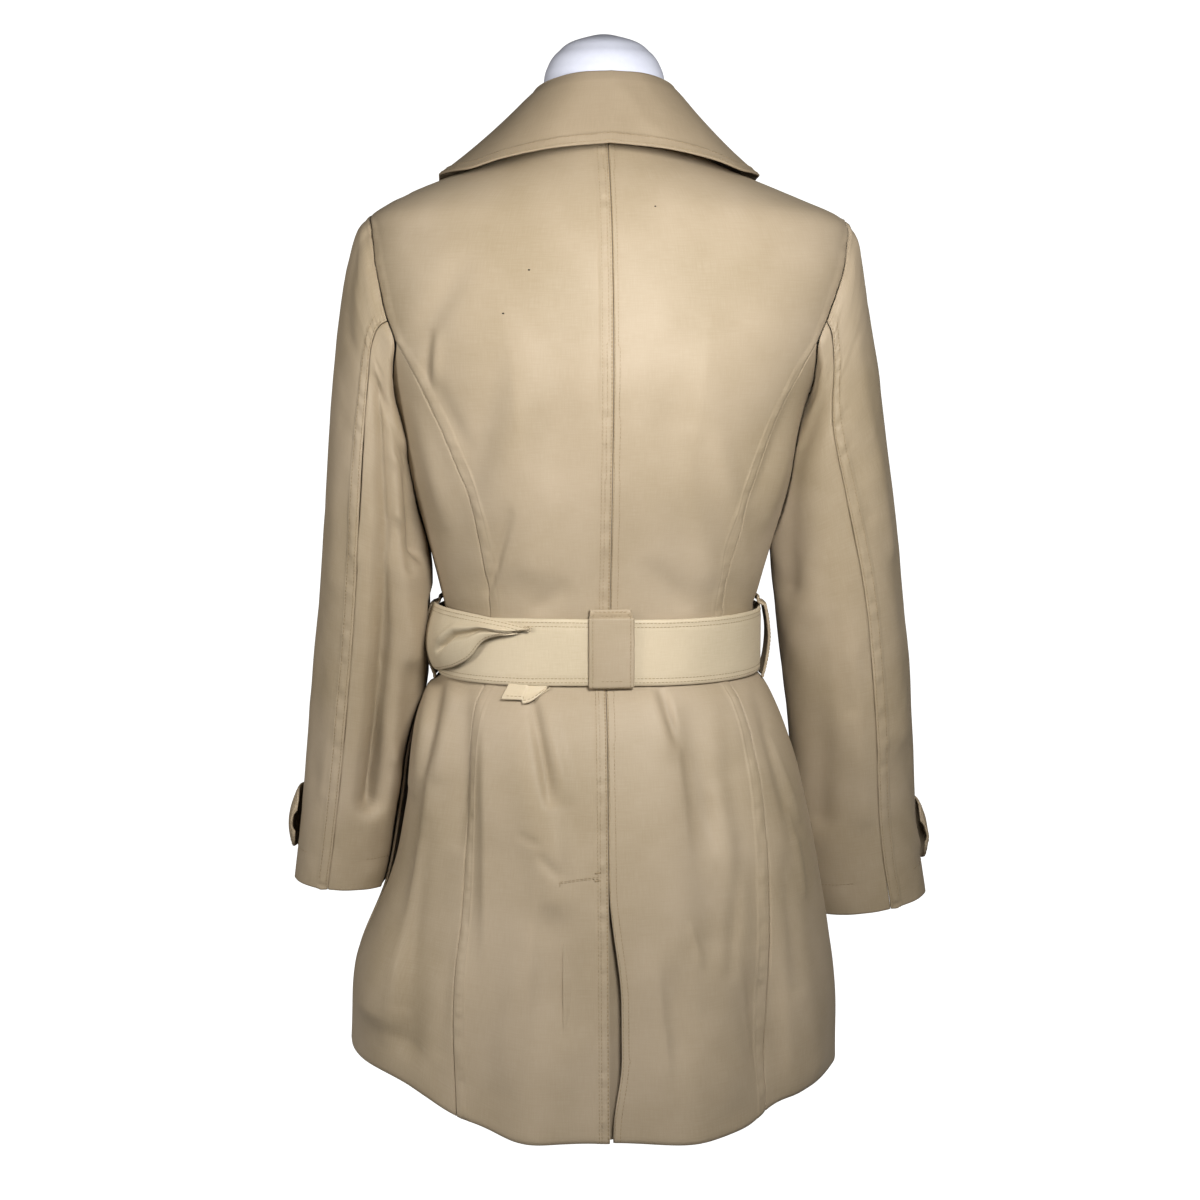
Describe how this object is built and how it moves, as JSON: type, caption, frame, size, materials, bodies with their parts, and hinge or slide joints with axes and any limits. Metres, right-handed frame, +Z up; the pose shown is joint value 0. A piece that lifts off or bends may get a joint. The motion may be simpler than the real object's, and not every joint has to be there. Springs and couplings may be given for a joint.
{
  "type": "trench coat on dress form",
  "caption": "Belted thigh-length trench coat with a wide folded collar, two-piece sleeves, cuff tabs and a back vent, standing on a short limbless dress form.",
  "frame": {"origin": "middle of the underside of the dress form's foot", "axes": "+Z up, +X towards the wearer's left, -Y the way the wearer faces, so the back that the picture shows faces +Y"},
  "size_m": [0.5531, 0.3204, 0.891],
  "materials": {
    "coat_cloth": "matte",
    "belt_cloth": "matte",
    "buttons": "gloss",
    "buckle": "satin",
    "form_shell": "satin",
    "form_metal": "satin"
  },
  "bodies": {
    "root": {"back_left": "coat_cloth", "side_back_left": "coat_cloth", "front_left": "coat_cloth", "back_right": "coat_cloth", "side_back_right": "coat_cloth", "front_right": "coat_cloth", "vent_underlap": "coat_cloth", "lapel_left": "coat_cloth", "lapel_right": "coat_cloth", "collar": "coat_cloth", "top_sleeve_left": "coat_cloth", "under_sleeve_left": "coat_cloth", "cuff_tab_left": "coat_cloth", "cuff_button_left": "buttons", "top_sleeve_right": "coat_cloth", "under_sleeve_right": "coat_cloth", "cuff_tab_right": "coat_cloth", "cuff_button_right": "buttons", "belt": "belt_cloth", "belt_twist": "belt_cloth", "belt_tuck": "belt_cloth", "belt_tail": "belt_cloth", "buckle": "buckle", "belt_loop_back": "coat_cloth", "belt_loop_left": "coat_cloth", "belt_loop_right": "coat_cloth", "front_button_left_1": "buttons", "front_button_right_1": "buttons", "front_button_left_2": "buttons", "front_button_right_2": "buttons", "front_button_left_3": "buttons", "front_button_right_3": "buttons", "form_torso": "form_shell", "form_stem": "form_metal", "form_foot": "form_metal"}
  },
  "joints": []
}
